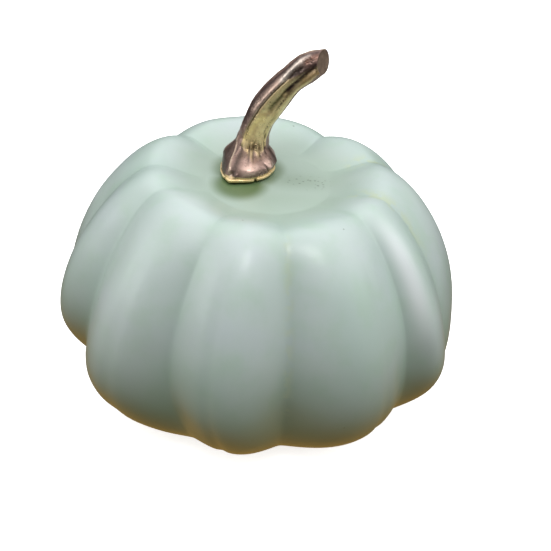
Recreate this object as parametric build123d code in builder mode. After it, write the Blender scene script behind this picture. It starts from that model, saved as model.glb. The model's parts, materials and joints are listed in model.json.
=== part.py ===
"""Ceramic pumpkin figure: a hollow glazed body with nine lobes and a cast metal stalk bolted on top.

Millimetres, +Z up.  The origin is on the table under the middle of the figure.
-Y is the front, and the stalk leans towards +X.
"""
from build123d import *
from math import cos, hypot, pi, radians, sin
import os

# ---------------------------------------------------------------- driving dimensions
BODY_RADIUS = 78.0                      # a full lobe, measured from the body's own axis
PAD_HEIGHT = 1.5                        # felt under the foot ring
WALL = 4.5                              # slip-cast wall

FOOT_Z = PAD_HEIGHT                     # underside of the foot ring
EQUATOR_Z = FOOT_Z + 0.377 * BODY_RADIUS
FLOOR_Z = FOOT_Z + 0.965 * BODY_RADIUS  # floor of the well that holds the stalk
CREST_Z = FOOT_Z + 1.05 * BODY_RADIUS   # top of a full lobe

CREST_RADIUS = 0.504 * BODY_RADIUS      # where a lobe is highest
FLOOR_RADIUS = 0.27 * BODY_RADIUS       # flat part of the well
WELL_SHIFT = 4.0                        # the well is this much nearer the front than the body
FOOT_RADIUS = 0.66 * BODY_RADIUS        # outside of the foot ring
FOOT_WIDTH = 12.0
FOOT_RECESS = 2.5                       # the middle of the base stands clear of the table
SHOULDER_POWER = 1.34                   # above 1 flattens the corner of the shoulder
BELLY_POWER = 1.03
WELL_POWER = 1.6

# The body's axis, so that the middle of its uneven outline is the origin
AXIS_X = 1.7
AXIS_Y = -0.2

# Nine lobes, counter-clockwise from the front.  Lobe n lies between groove n and groove n + 1.
GROOVE_ANGLE = [-81, -47, -26, 15, 58, 147, 190, 211, 250]
GROOVE_DEPTH = [1.4, 1.0, 0.45, 1.2, 1.3, 0.8, 0.6, 1.05, 1.0]
LOBE_FULLNESS = [-0.02, -0.04, -0.13, -0.07, 0.0, -0.03, -0.03, -0.01, -0.02]
LOBE_LIFT = [0.0, 0.0, 0.0, -0.02, -0.005, 0.01, 0.005, 0.0, 0.0]
GROOVE_CUT = 0.181                      # how far a groove comes in, as a part of the overhang
GROOVE_DROP = 0.064                     # how far it drops over the shoulder
GROOVE_SOFTNESS = 0.554                 # 0.5 is a sharp valley, more is softer
GROOVE_FADE = 0.8                       # how much of a groove is gone at the foot
# share of each groove's depth that is left on the crest
CREST_GROOVE = [0.5, 0.55, 0.6, 0.85, 1.0, 1.0, 0.65, 0.5, 0.5]

# The stalk leans towards +X, further and further up to the cut end
STALK_X = AXIS_X - 7.2
STALK_Y = AXIS_Y + 6.6
GASKET_HEIGHT = 0.8
LIP_HEIGHT = 0.9
# length along it, degrees from upright
STALK_LEAN = [(0, 4), (5, 5), (10, 10), (15, 20), (22, 32), (30, 38), (38, 51), (46, 70)]
CUT_LEAN = 76.0                         # the cut end faces a little lower than the stalk runs
CUT_TURN = 28.0                         # and is turned this far towards the front
BUTT_RADIUS = 9.5
BUTT_AHEAD = 3.0                        # the foot of the stalk stands this far in front of its stud
BUTT_REACH = 9.0                        # and is back over the stud at this length
TOE = 3.6                               # how far one corner of the foot runs out
TOE_ANGLE = 243.0                       # the front left corner
NECK_RADIUS = 5.1
TIP_RADIUS = 4.0
BUTT_HEIGHT = 10.0                      # from the lip up to the neck

# M5 fixing through the floor of the well
STUD_RADIUS = 2.5
STUD_IN_STALK = 12.0
CLEARANCE_RADIUS = 3.0
BOSS_RADIUS = 10.5
BOSS_HEIGHT = 2.0
RUBBER_HEIGHT = 2.0
WASHER_RADIUS = 10.0
WASHER_HEIGHT = 1.2
SPRING_RADIUS = 4.6
SPRING_HEIGHT = 1.3
SPRING_GAP = 1.0
NUT_ACROSS_FLATS = 8.0
NUT_HEIGHT = 4.0
STUD_PAST_NUT = 3.0

# Opening in the base, in line with the stud, and its plug
OPENING_RADIUS = 14.0
FLANGE_RADIUS = 17.0
FLANGE_HEIGHT = 1.6
BARB_RADIUS = 14.9
BARB_HEIGHT = 2.6
PLUG_WALL = 2.6
PLUG_ROOF = 2.0
GRIP_WIDTH = 2.4

PAD_RADIUS = 5.5
PAD_COUNT = 4
PAD_FIRST_ANGLE = 45.0

# ---------------------------------------------------------------- heights worked out from those
BASE_UNDER_Z = FOOT_Z + FOOT_RECESS
BASE_OVER_Z = BASE_UNDER_Z + WALL
FLOOR_UNDER_Z = FLOOR_Z - WALL
BOSS_Z = FLOOR_UNDER_Z - BOSS_HEIGHT
LIP_Z = FLOOR_Z + GASKET_HEIGHT
BUTT_Z = LIP_Z + LIP_HEIGHT
RUBBER_Z = BOSS_Z - RUBBER_HEIGHT
WASHER_Z = RUBBER_Z - WASHER_HEIGHT
SPRING_Z = WASHER_Z - SPRING_HEIGHT
NUT_Z = SPRING_Z - NUT_HEIGHT
STUD_BOTTOM_Z = NUT_Z - STUD_PAST_NUT
STUD_TOP_Z = LIP_Z + STUD_IN_STALK

STALK_LENGTH = STALK_LEAN[-1][0]
LOBES = len(GROOVE_ANGLE)
CORE_RADIUS = 8.0                       # the wall sections stop here, and discs close the middle
SECTION_PLACES = [-1.0, -0.8, -0.45, 0.0, 0.45, 0.8, 1.0]
OUTER_STEPS = [0.0, 0.15, 0.4, 0.7, 1.0, 1.2, 1.4, 1.6, 1.8, 2.0, 2.25, 2.5, 2.7, 2.85, 3.0]
INNER_STEPS = [0.0, 0.2, 0.45, 0.7, 1.0, 1.3, 1.6, 1.8, 2.0, 2.2, 2.35]


def smooth(share):
    """Eases a share that runs from 0 to 1."""
    share = min(max(share, 0.0), 1.0)
    return share * share * (3 - 2 * share)


def lobe_angle(lobe, place):
    """Angle round the body's axis, in radians, at a place across a lobe."""
    first = GROOVE_ANGLE[lobe]
    last = GROOVE_ANGLE[(lobe + 1) % LOBES]
    if last < first:
        last += 360
    return radians(first + (last - first) * (place + 1) / 2)


def meridian(lobe, place, step):
    """Point (r, z) of the glazed surface.

    place runs across a lobe, from -1 in its first groove to 1 in the next one.
    step is 0 at the edge of the well's floor, 1 on the crest, 2 at the equator, 3 at the foot.
    """
    ridge = ((1 + cos(pi * place)) / 2) ** GROOVE_SOFTNESS
    groove = (lobe + (1 if place > 0 else 0)) % LOBES
    valley = (1 - ridge) * GROOVE_DEPTH[groove]
    valley = valley * (1 - (1 - CREST_GROOVE[groove]) * (1 - smooth((step - 0.95) / 0.5)))
    if step < 1:
        quarter = sin(step * pi / 2)
        r = FLOOR_RADIUS + (CREST_RADIUS - FLOOR_RADIUS) * step
        z = FLOOR_Z + (CREST_Z - FLOOR_Z) * quarter ** WELL_POWER
        cut = valley * quarter
        r = CREST_RADIUS + (r - CREST_RADIUS) * (1 - GROOVE_CUT * cut)
        drop = cut
        lift = quarter ** 2
        full = 0.0
        shift = 1.0
    elif step <= 2:
        turn = (step - 1) * pi / 2
        r = CREST_RADIUS + (BODY_RADIUS - CREST_RADIUS) * sin(turn) ** SHOULDER_POWER
        z = EQUATOR_Z + (CREST_Z - EQUATOR_Z) * max(cos(turn), 0.0) ** SHOULDER_POWER
        r = CREST_RADIUS + (r - CREST_RADIUS) * (1 - GROOVE_CUT * valley)
        drop = valley
        lift = cos(turn)
        full = step - 1
        shift = cos(turn)
    else:
        turn = (step - 2) * pi / 2
        r = FOOT_RADIUS + (BODY_RADIUS - FOOT_RADIUS) * max(cos(turn), 0.0) ** BELLY_POWER
        z = EQUATOR_Z - (EQUATOR_Z - FOOT_Z) * sin(turn) ** BELLY_POWER
        cut = valley * (1 - GROOVE_FADE * (step - 2))
        r = CREST_RADIUS + (r - CREST_RADIUS) * (1 - GROOVE_CUT * cut)
        drop = 0.0
        lift = 0.0
        full = 1.0
        shift = 0.0
    z = EQUATOR_Z + (z - EQUATOR_Z) * (1 - GROOVE_DROP * drop)
    z = z + LOBE_LIFT[lobe] * BODY_RADIUS * ridge * lift
    r = CREST_RADIUS + (r - CREST_RADIUS) * (1 + LOBE_FULLNESS[lobe] * ridge * full)
    r = r - WELL_SHIFT * shift * sin(lobe_angle(lobe, place))
    return r, z


def inner_meridian(lobe, place, step):
    """The same point, one wall inwards, square to the surface in the section's plane."""
    before = meridian(lobe, place, max(step - 0.02, 0.0))
    after = meridian(lobe, place, step + 0.02)
    along = (after[0] - before[0], after[1] - before[1])
    length = hypot(along[0], along[1])
    r, z = meridian(lobe, place, step)
    return r + along[1] / length * WALL, z - along[0] / length * WALL


def body_plane(lobe, place):
    """Upright half-plane through the body's axis: x is outwards, y is up."""
    angle = lobe_angle(lobe, place)
    outwards = (cos(angle), sin(angle), 0)
    return Plane(origin=(AXIS_X, AXIS_Y, 0), x_dir=outwards, z_dir=(sin(angle), -cos(angle), 0))


def stalk_lean(length):
    """Lean of the stalk, in degrees from upright, at a length along it above the lip."""
    for (start, lean), (end, next_lean) in zip(STALK_LEAN, STALK_LEAN[1:]):
        if length <= end:
            return lean + (next_lean - lean) * (length - start) / (end - start)
    return STALK_LEAN[-1][1]


def stalk_centre(length):
    """Middle of the stalk at a length along it, by adding up short steps."""
    steps = max(round(length / 0.25), 1)
    short = length / steps
    x, z = STALK_X, BUTT_Z
    for n in range(steps):
        lean = radians(stalk_lean((n + 0.5) * short))
        x += short * sin(lean)
        z += short * cos(lean)
    return x, STALK_Y - BUTT_AHEAD * (1 - smooth(length / BUTT_REACH)), z


def stalk_plane(length):
    """Plane of the ring at a length along the stalk: level at the lip, slanting at the cut end."""
    lean = radians(stalk_lean(length))
    turn = 0.0
    if length == 0:
        lean = 0.0
    if length == STALK_LENGTH:
        lean = radians(CUT_LEAN)
        turn = radians(CUT_TURN)
    return Plane(
        origin=stalk_centre(length),
        x_dir=(cos(lean), 0, -sin(lean)),
        z_dir=(sin(lean) * cos(turn), -sin(turn), cos(lean) * cos(turn)),
    )


def stalk_outline(radius, corners, toe):
    """Rounded five-sided ring.

    corners is how far the sides stand in from the corners, and toe how far one corner runs out.
    """
    ring = []
    for n in range(20):
        angle = 2 * pi * n / 20
        r = radius * (1 - corners + corners * cos(5 * (angle - radians(TOE_ANGLE))))
        r += toe * max(cos(angle - radians(TOE_ANGLE)), 0.0) ** 8
        ring.append((r * cos(angle), r * sin(angle)))
    return ring


# ---------------------------------------------------------------- body
with BuildPart() as body_shell:
    for lobe in range(LOBES):
        for place in SECTION_PLACES:
            outer = [meridian(lobe, place, step) for step in OUTER_STEPS]
            foot_r = outer[-1][0]
            inner = [inner_meridian(lobe, place, step) for step in INNER_STEPS]
            inner[0] = (outer[0][0], FLOOR_UNDER_Z)
            inner.append((foot_r + WALL, BASE_OVER_Z))
            recess_r = foot_r - FOOT_WIDTH
            with BuildSketch(body_plane(lobe, place)):
                with BuildLine():
                    Line((CORE_RADIUS, FLOOR_Z), outer[0])
                    Spline(outer)
                    Line(outer[-1], (recess_r, FOOT_Z))
                    Line((recess_r, FOOT_Z), (recess_r - FOOT_RECESS, BASE_UNDER_Z))
                    Line((recess_r - FOOT_RECESS, BASE_UNDER_Z), (CORE_RADIUS, BASE_UNDER_Z))
                    Line((CORE_RADIUS, BASE_UNDER_Z), (CORE_RADIUS, BASE_OVER_Z))
                    Line((CORE_RADIUS, BASE_OVER_Z), inner[-1])
                    Spline(inner)
                    Line(inner[0], (CORE_RADIUS, FLOOR_UNDER_Z))
                    Line((CORE_RADIUS, FLOOR_UNDER_Z), (CORE_RADIUS, FLOOR_Z))
                make_face()
        loft()
    # discs that close the middle of the well's floor and of the base
    with BuildSketch(Plane.XY.offset(FLOOR_UNDER_Z)):
        with Locations((AXIS_X, AXIS_Y)):
            Circle(CORE_RADIUS + 2)
    extrude(amount=WALL)
    with BuildSketch(Plane.XY.offset(BASE_UNDER_Z)):
        with Locations((AXIS_X, AXIS_Y)):
            Circle(CORE_RADIUS + 2)
    extrude(amount=WALL)
    # flat boss under the well's floor, for the fixing
    with BuildSketch(Plane.XY.offset(BOSS_Z)):
        with Locations((STALK_X, STALK_Y)):
            Circle(BOSS_RADIUS)
    extrude(amount=BOSS_HEIGHT + WALL / 2)
    with BuildSketch(Plane.XY.offset(BOSS_Z)):
        with Locations((STALK_X, STALK_Y)):
            Circle(CLEARANCE_RADIUS)
    extrude(amount=BOSS_HEIGHT + WALL, mode=Mode.SUBTRACT)
    with BuildSketch(Plane.XY.offset(BASE_UNDER_Z)):
        with Locations((STALK_X, STALK_Y)):
            Circle(OPENING_RADIUS)
    extrude(amount=WALL, mode=Mode.SUBTRACT)
body_shell.part.label = "body_shell"

# ---------------------------------------------------------------- stalk
# length along the stalk, radius, how five-sided it is, how far its toe runs out
BUTT_RINGS = [
    (0.0, 0.97 * BUTT_RADIUS, 0.04, 0.90 * TOE),
    (0.15 * BUTT_HEIGHT, BUTT_RADIUS, 0.05, 0.75 * TOE),
    (0.35 * BUTT_HEIGHT, 0.96 * BUTT_RADIUS, 0.05, 0.45 * TOE),
    (0.55 * BUTT_HEIGHT, 0.81 * BUTT_RADIUS, 0.05, 0.20 * TOE),
    (0.75 * BUTT_HEIGHT, 0.65 * BUTT_RADIUS, 0.05, 0.05 * TOE),
    (BUTT_HEIGHT, 1.04 * NECK_RADIUS, 0.05, 0.0),
]
STALK_RINGS = [
    (BUTT_HEIGHT, 1.04 * NECK_RADIUS, 0.05, 0.0),
    (0.33 * STALK_LENGTH, 0.96 * NECK_RADIUS, 0.06, 0.0),
    (0.48 * STALK_LENGTH, 1.05 * NECK_RADIUS, 0.08, 0.0),
    (0.62 * STALK_LENGTH, 0.96 * NECK_RADIUS, 0.08, 0.0),
    (0.75 * STALK_LENGTH, 1.05 * TIP_RADIUS, 0.06, 0.0),
    (0.87 * STALK_LENGTH, 1.12 * TIP_RADIUS, 0.06, 0.0),
    (STALK_LENGTH, TIP_RADIUS, 0.06, 0.0),
]
with BuildPart() as stem:
    with BuildSketch(Plane(origin=(STALK_X, STALK_Y - BUTT_AHEAD, LIP_Z))):
        with BuildLine():
            Spline(stalk_outline(1.02 * BUTT_RADIUS, 0.05, TOE), periodic=True)
        make_face()
    extrude(amount=LIP_HEIGHT)
    for rings in (BUTT_RINGS, STALK_RINGS):
        for length, radius, corners, toe in rings:
            with BuildSketch(stalk_plane(length)):
                with BuildLine():
                    Spline(stalk_outline(radius, corners, toe), periodic=True)
                make_face()
        loft()
    with BuildSketch(Plane.XY.offset(LIP_Z)):
        with Locations((STALK_X, STALK_Y)):
            Circle(STUD_RADIUS)
    extrude(amount=STUD_IN_STALK, mode=Mode.SUBTRACT)
stem.part.label = "stem"

# ---------------------------------------------------------------- fixing
with BuildPart() as stem_stud:
    with BuildSketch(Plane.XY.offset(STUD_BOTTOM_Z)):
        with Locations((STALK_X, STALK_Y)):
            Circle(STUD_RADIUS)
    extrude(amount=STUD_TOP_Z - STUD_BOTTOM_Z)
    chamfer(stem_stud.edges().filter_by(GeomType.CIRCLE), length=0.6)
stem_stud.part.label = "stem_stud"


def flat_ring(height, outer_radius, inner_radius, thickness):
    """A washer round the stud's axis, with its underside at a height."""
    with BuildPart() as ring:
        with BuildSketch(Plane.XY.offset(height)):
            with Locations((STALK_X, STALK_Y)):
                Circle(outer_radius)
                Circle(inner_radius, mode=Mode.SUBTRACT)
        extrude(amount=thickness)
    return ring


seat_gasket = flat_ring(FLOOR_Z, 0.62 * BUTT_RADIUS, CLEARANCE_RADIUS, GASKET_HEIGHT)
seat_gasket.part.label = "seat_gasket"

rubber_washer = flat_ring(RUBBER_Z, WASHER_RADIUS, CLEARANCE_RADIUS, RUBBER_HEIGHT)
rubber_washer.part.label = "rubber_washer"

steel_washer = flat_ring(WASHER_Z, WASHER_RADIUS, STUD_RADIUS + 0.15, WASHER_HEIGHT)
steel_washer.part.label = "steel_washer"

with BuildPart() as spring_washer:
    with BuildSketch(Plane.XY.offset(SPRING_Z)):
        with Locations((STALK_X, STALK_Y)):
            Circle(SPRING_RADIUS)
            Circle(STUD_RADIUS + 0.1, mode=Mode.SUBTRACT)
        with Locations((STALK_X + SPRING_RADIUS / 2 + 1, STALK_Y)):
            Rectangle(SPRING_RADIUS + 2, SPRING_GAP, mode=Mode.SUBTRACT)
    extrude(amount=SPRING_HEIGHT)
spring_washer.part.label = "spring_washer"

with BuildPart() as hex_nut:
    with BuildSketch(Plane.XY.offset(NUT_Z)):
        with Locations((STALK_X, STALK_Y)):
            RegularPolygon(NUT_ACROSS_FLATS / 2, 6, major_radius=False)
            Circle(STUD_RADIUS, mode=Mode.SUBTRACT)
    extrude(amount=NUT_HEIGHT)
    # the turned blank that rounds the corners off
    blank_radius = 0.58 * NUT_ACROSS_FLATS
    bevel = 0.5
    with BuildSketch(Plane(origin=(STALK_X, STALK_Y, NUT_Z), x_dir=(1, 0, 0), z_dir=(0, -1, 0))):
        with BuildLine():
            Polyline(
                (0, 0),
                (blank_radius - 2 * bevel, 0),
                (blank_radius, bevel),
                (blank_radius, NUT_HEIGHT - bevel),
                (blank_radius - 2 * bevel, NUT_HEIGHT),
                (0, NUT_HEIGHT),
                close=True,
            )
        make_face()
    revolve(axis=Axis((STALK_X, STALK_Y, 0), (0, 0, 1)), mode=Mode.INTERSECT)
hex_nut.part.label = "hex_nut"

# ---------------------------------------------------------------- base
PLUG_TOP_Z = BASE_OVER_Z + BARB_HEIGHT
PLUG_BOTTOM_Z = BASE_UNDER_Z - FLANGE_HEIGHT
with BuildPart() as base_stopper:
    with BuildSketch(Plane(origin=(STALK_X, STALK_Y, 0), x_dir=(1, 0, 0), z_dir=(0, -1, 0))):
        with BuildLine():
            Polyline(
                (0, PLUG_TOP_Z),
                (OPENING_RADIUS - 1.2, PLUG_TOP_Z),
                (BARB_RADIUS, BASE_OVER_Z + 0.8),
                (BARB_RADIUS, BASE_OVER_Z),
                (OPENING_RADIUS, BASE_OVER_Z),
                (OPENING_RADIUS, BASE_UNDER_Z),
                (FLANGE_RADIUS, BASE_UNDER_Z),
                (FLANGE_RADIUS, BASE_UNDER_Z - 0.8),
                (FLANGE_RADIUS - 0.8, PLUG_BOTTOM_Z),
                (OPENING_RADIUS - PLUG_WALL, PLUG_BOTTOM_Z),
                (OPENING_RADIUS - PLUG_WALL, PLUG_TOP_Z - PLUG_ROOF),
                (0, PLUG_TOP_Z - PLUG_ROOF),
                close=True,
            )
        make_face()
    revolve(axis=Axis((STALK_X, STALK_Y, 0), (0, 0, 1)))
    # bar across the cup, to pull the plug out by
    with BuildSketch(Plane.XY.offset(PLUG_BOTTOM_Z + 0.6)):
        with Locations((STALK_X, STALK_Y)):
            Rectangle(2 * OPENING_RADIUS - 2, GRIP_WIDTH)
    extrude(amount=PLUG_TOP_Z - PLUG_ROOF / 2 - PLUG_BOTTOM_Z - 0.6)
base_stopper.part.label = "base_stopper"

pad_ring = FOOT_RADIUS - FOOT_WIDTH / 2 - 0.5
felt_pads = []
for n in range(PAD_COUNT):
    angle = radians(PAD_FIRST_ANGLE + n * 360 / PAD_COUNT)
    with BuildPart() as felt_pad:
        with BuildSketch(Plane.XY):
            with Locations((AXIS_X + pad_ring * cos(angle), AXIS_Y + pad_ring * sin(angle))):
                Circle(PAD_RADIUS)
        extrude(amount=PAD_HEIGHT)
    felt_pad.part.label = f"felt_pad_{n + 1}"
    felt_pads.append(felt_pad.part)

# ---------------------------------------------------------------- files
os.makedirs("parts", exist_ok=True)
export_step(body_shell.part, "parts/body_shell.step")
export_step(stem.part, "parts/stem.step")
export_step(stem_stud.part, "parts/stem_stud.step")
export_step(seat_gasket.part, "parts/seat_gasket.step")
export_step(rubber_washer.part, "parts/rubber_washer.step")
export_step(steel_washer.part, "parts/steel_washer.step")
export_step(spring_washer.part, "parts/spring_washer.step")
export_step(hex_nut.part, "parts/hex_nut.step")
export_step(base_stopper.part, "parts/base_stopper.step")
for pad in felt_pads:
    export_step(pad, f"parts/{pad.label}.step")
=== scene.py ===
"""Ceramic pumpkin figure: celadon-glazed body and antique gold stalk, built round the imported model."""
import json
import math

import bpy
import numpy as np
from mathutils import Matrix, Vector, noise


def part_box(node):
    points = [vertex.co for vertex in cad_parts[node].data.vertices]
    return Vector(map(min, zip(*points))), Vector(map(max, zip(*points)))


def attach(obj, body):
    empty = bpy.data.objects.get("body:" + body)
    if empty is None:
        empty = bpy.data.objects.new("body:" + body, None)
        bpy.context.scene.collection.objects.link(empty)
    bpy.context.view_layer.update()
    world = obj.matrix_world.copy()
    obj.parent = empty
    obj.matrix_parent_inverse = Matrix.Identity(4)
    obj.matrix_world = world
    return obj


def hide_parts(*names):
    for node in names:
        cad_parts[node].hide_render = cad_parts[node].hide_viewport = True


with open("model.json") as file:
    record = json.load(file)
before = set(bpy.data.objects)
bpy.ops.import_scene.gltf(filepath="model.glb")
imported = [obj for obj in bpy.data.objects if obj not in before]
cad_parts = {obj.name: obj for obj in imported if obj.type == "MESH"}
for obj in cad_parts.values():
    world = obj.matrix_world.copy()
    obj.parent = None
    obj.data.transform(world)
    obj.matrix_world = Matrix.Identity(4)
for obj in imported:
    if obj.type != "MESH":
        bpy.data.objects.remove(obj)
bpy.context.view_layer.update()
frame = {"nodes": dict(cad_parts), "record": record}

MM = 0.001


def mm(vector):
    """A frame vector in millimetres."""
    return Vector(vector) / MM


# ------------------------------------------------ places read from the frame, in millimetres
stud_low, stud_high = map(mm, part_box("stem_stud"))
FOOT_Z = mm(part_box("body_shell")[0]).z
FLOOR_Z = mm(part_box("seat_gasket")[0]).z
LIP_Z = mm(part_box("stem")[0]).z
STALK_X = (stud_low.x + stud_high.x) / 2
STALK_Y = (stud_low.y + stud_high.y) / 2

# ------------------------------------------------ body, in the proportions of the CAD body
BODY_RADIUS = (FLOOR_Z - FOOT_Z) / 0.965
AXIS_X = STALK_X + 7.2                  # the stalk stands left of the body's axis and behind it
AXIS_Y = STALK_Y - 6.6
WALL = 4.5
EQUATOR_Z = FOOT_Z + 0.377 * BODY_RADIUS
CREST_Z = FOOT_Z + 1.05 * BODY_RADIUS
CREST_RADIUS = 0.504 * BODY_RADIUS
FLOOR_RADIUS = 0.27 * BODY_RADIUS
WELL_SHIFT = 4.0                        # how far the well lies in front of the axis
FOOT_RADIUS = 0.66 * BODY_RADIUS
FOOT_WIDTH = 12.0
FOOT_RECESS = 2.5
SHOULDER_POWER = 1.34                   # 1 is a quarter of an ellipse, and more is flatter
BELLY_POWER = 1.03
WELL_POWER = 1.6
OPENING_RADIUS = 14.0
STUD_HOLE_RADIUS = 3.0
BUTT_AHEAD = 3.0                        # how far the foot of the stalk stands in front of its stud
GLAZE_INSET = 0.22                      # keeps the uneven glaze inside the CAD body's box

GROOVE_ANGLE = [-82, -48, -29, 15, 58, 147, 191, 214, 250]
GROOVE_DEPTH = [1.4, 1.0, 0.45, 1.2, 1.3, 0.8, 0.6, 1.05, 1.0]
GROOVE_BOW = [0.5, 2, -0.5, -0.5, 0, 0.5, -2.5, 1, -2.5]                    # degrees, at the shoulder
GROOVE_CURL = [1, 3.5, 8, 0, 0, 0, 0, -8, 3]                                # degrees, low on the belly
LOBE_FULLNESS = [-0.02, -0.01, -0.13, -0.07, 0.0, -0.015, -0.025, 0.02, -0.02]
LOBE_LIFT = [0.0, 0.0, 0.0, -0.02, -0.005, 0.01, 0.005, 0.0, 0.0]
GROOVE_CUT = 0.181                      # share of the width beyond the crest that a groove of depth 1 takes
GROOVE_DROP = 0.064                     # and the share of the height above the equator
GROOVE_SOFTNESS = 0.554                 # how round a lobe is from groove to groove; lower is fuller
CREST_GROOVE = [0.38, 0.3, 0.4, 0.75, 1.0, 1.0, 0.5, 0.35, 0.3]             # share of its depth left there
CREST_SOFTNESS = [0.50, 0.50, 0.50, 0.42, 0.15, 0.42, 0.50, 0.50, 0.50]     # lower is a fuller lobe
GROOVE_FADE = 0.8                       # share of its depth that a groove loses by the foot
GROOVE_ROUND = 0.09                     # how round the bottom of a groove is
LOBES = len(GROOVE_ANGLE)

# A step says how far along its profile the outside is: 0 to 1 up the wall of the well to the crest, 1 to 2
# over the shoulder to the widest place, 2 to 3 down the belly to the foot. A place across a lobe runs from
# -1 at one groove to 1 at the next.

# Shallow flutes down single lobes: lobe, place across it, width, depth in mm (a swelling if negative),
# from step, to step
FLUTES = [
    (8, -0.25, 0.10, 0.45, 1.2, 2.9),
    (0, 0.42, 0.09, 0.4, 1.1, 2.8),
    (7, 0.10, 0.12, 0.4, 1.2, 2.8),
    (4, -0.30, 0.10, 0.5, 1.2, 2.9),
    (4, 0.35, 0.10, 0.4, 1.2, 2.9),
    (5, 0.05, 0.14, 0.4, 1.2, 2.9),
    (4, 0.60, 0.28, -1.0, 0.6, 1.7),
]

# Painted light and highlights on single lobes, as lighter glaze: lobe, place across it, width, from step,
# to step, strength
PAINTED_LIGHT_PATCHES = [
    (1, -0.45, 0.35, 1.05, 1.80, 1.00),
    (1, 0.30, 0.50, 1.50, 2.40, 0.25),
    (3, -0.10, 0.50, 0.90, 1.80, 0.35),
    (2, 0.00, 0.60, 0.95, 1.70, 0.35),
    (7, 0.00, 0.90, 0.10, 1.10, 0.40),
    (5, 0.30, 0.60, 1.20, 1.90, 0.25),
    (7, 0.00, 0.80, 1.20, 2.20, 0.18),
]

# Painted shadow of the stalk on the glaze, most of it in front: its middle, right and back of the stud, and
# its half-widths, in mm
STALK_SHADOW_MIDDLE = (-2.5, -14.0)
STALK_SHADOW_SIZE = (11.5, 12.5)
# Fainter painted shade round it: strength, then middle and half-width to the right, then the same to the
# back
STALK_SHADOW_RIMS = [
    (0.30, 15.0, 14.0, -9.0, 6.0),
    (0.12, 8.0, 18.0, -22.0, 6.0),
]
# The speckled patch beside the stalk: its middle, from the body's axis, and its half-widths
SPECKLE_MIDDLE = (13.5, -3.0)
SPECKLE_SIZE = (7.5, 4.5)


def smooth(x, low, high):
    """0 below low, 1 above high, and a smooth step between."""
    t = np.clip((x - low) / (high - low), 0.0, 1.0)
    return t * t * (3 - 2 * t)


def hump(x, centre, width):
    """A bell of height 1."""
    return np.exp(-(((x - centre) / width) ** 2))


def angle_hump(angle, centre, width):
    """The same bell round a circle, in degrees."""
    return hump((angle - centre + 180.0) % 360.0 - 180.0, 0.0, width)


def cloud(points, size, seed):
    """Smooth noise from -1 to 1 at each point. size is its grain in mm."""
    flat = points.reshape(-1, 3) / size + seed
    values = [noise.noise(Vector(p)) for p in flat]
    return np.array(values).reshape(points.shape[:-1])


def rgb(red, green, blue):
    """A colour as people read it off a screen, from 0 to 255, in the shader's linear numbers."""
    linear = []
    for part in (red, green, blue):
        part = part / 255
        linear.append(part / 12.92 if part <= 0.04045 else ((part + 0.055) / 1.055) ** 2.4)
    return (*linear, 1.0)


def mesh_from_grid(name, points, closed_rows=False, caps=()):
    """A mesh through a grid of points in mm. Columns close on themselves; rows may too.

    caps are pairs (row, middle point), each a fan that closes the grid's end.
    """
    rows, columns = points.shape[:2]
    verts = list(map(tuple, (points.reshape(-1, 3) * MM)))
    faces = []
    for i in range(rows if closed_rows else rows - 1):
        a, b = i * columns, (i + 1) % rows * columns
        for j in range(columns):
            k = (j + 1) % columns
            faces.append((a + j, b + j, b + k, a + k))
    for row, middle in caps:
        start = row % rows * columns
        verts.append(tuple(np.array(middle) * MM))
        tip = len(verts) - 1
        for j in range(columns):
            k = (j + 1) % columns
            faces.append((tip, start + j, start + k) if row == 0 else (tip, start + k, start + j))
    mesh = bpy.data.meshes.new(name)
    mesh.from_pydata(verts, [], faces)
    mesh.polygons.foreach_set("use_smooth", np.ones(len(faces), bool))
    mesh.update()
    piece = bpy.data.objects.new(name, mesh)
    bpy.context.scene.collection.objects.link(piece)
    return piece


def paint(piece, name, values, rest=0.0):
    """Stores one number for each vertex of the grid, for the material to read."""
    layer = piece.data.attributes.new(name, "FLOAT", "POINT")
    full = np.full(len(piece.data.vertices), rest, np.float32)
    flat = np.asarray(values, np.float32).ravel()
    full[: len(flat)] = flat
    layer.data.foreach_set("value", full)


# ------------------------------------------------ body surface
COLUMNS_PER_LOBE = 42
WELL_ROWS = 34
SHOULDER_ROWS = 56
BELLY_ROWS = 52
FLOOR_ROWS = 26
PROFILE_SOFTENING = 40
INSIDE_SPACING = 4                      # the inside takes every fourth row
INSIDE_START = 2.36                     # and starts at this step, above the foot ring
HALF_LOBE = 20                          # degrees, on average
YELLOWISH_GROOVES = (2, 3)
OPENING_ROUND = 0.4
# (in from the outside of the foot, up from the table side)
FOOT_PROFILE = [(1.0, 0.0), (FOOT_WIDTH - 1.0, 0.0), (FOOT_WIDTH, 0.3),
                (FOOT_WIDTH + 2.0, FOOT_RECESS - 0.3), (FOOT_WIDTH + 3.0, FOOT_RECESS)]


def body_columns():
    """For every column its lobe, and its place across it from -1 to 1, closest together at the grooves."""
    t = np.arange(COLUMNS_PER_LOBE) / COLUMNS_PER_LOBE * 2 - 1
    place = t * (1.35 - 0.35 * t * t)
    lobe = np.repeat(np.arange(LOBES), COLUMNS_PER_LOBE)
    return lobe, np.tile(place, LOBES)


def body_angle(lobe, place, step):
    """Angle round the axis, in degrees. The grooves bow and curl a little on their way down."""
    base = np.array(GROOVE_ANGLE, float)
    bow = np.array(GROOVE_BOW, float)
    curl = np.array(GROOVE_CURL, float)
    bend = hump(step, 1.65, 0.4)
    low = smooth(step, 1.75, 2.5)
    here = base[lobe] + bow[lobe] * bend + curl[lobe] * low
    after = (lobe + 1) % LOBES
    there = base[after] + np.where(after < lobe, 360, 0) + bow[after] * bend + curl[after] * low
    there = np.where(there < here, there + 360, there)
    return here + (there - here) * (place + 1) / 2


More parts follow.
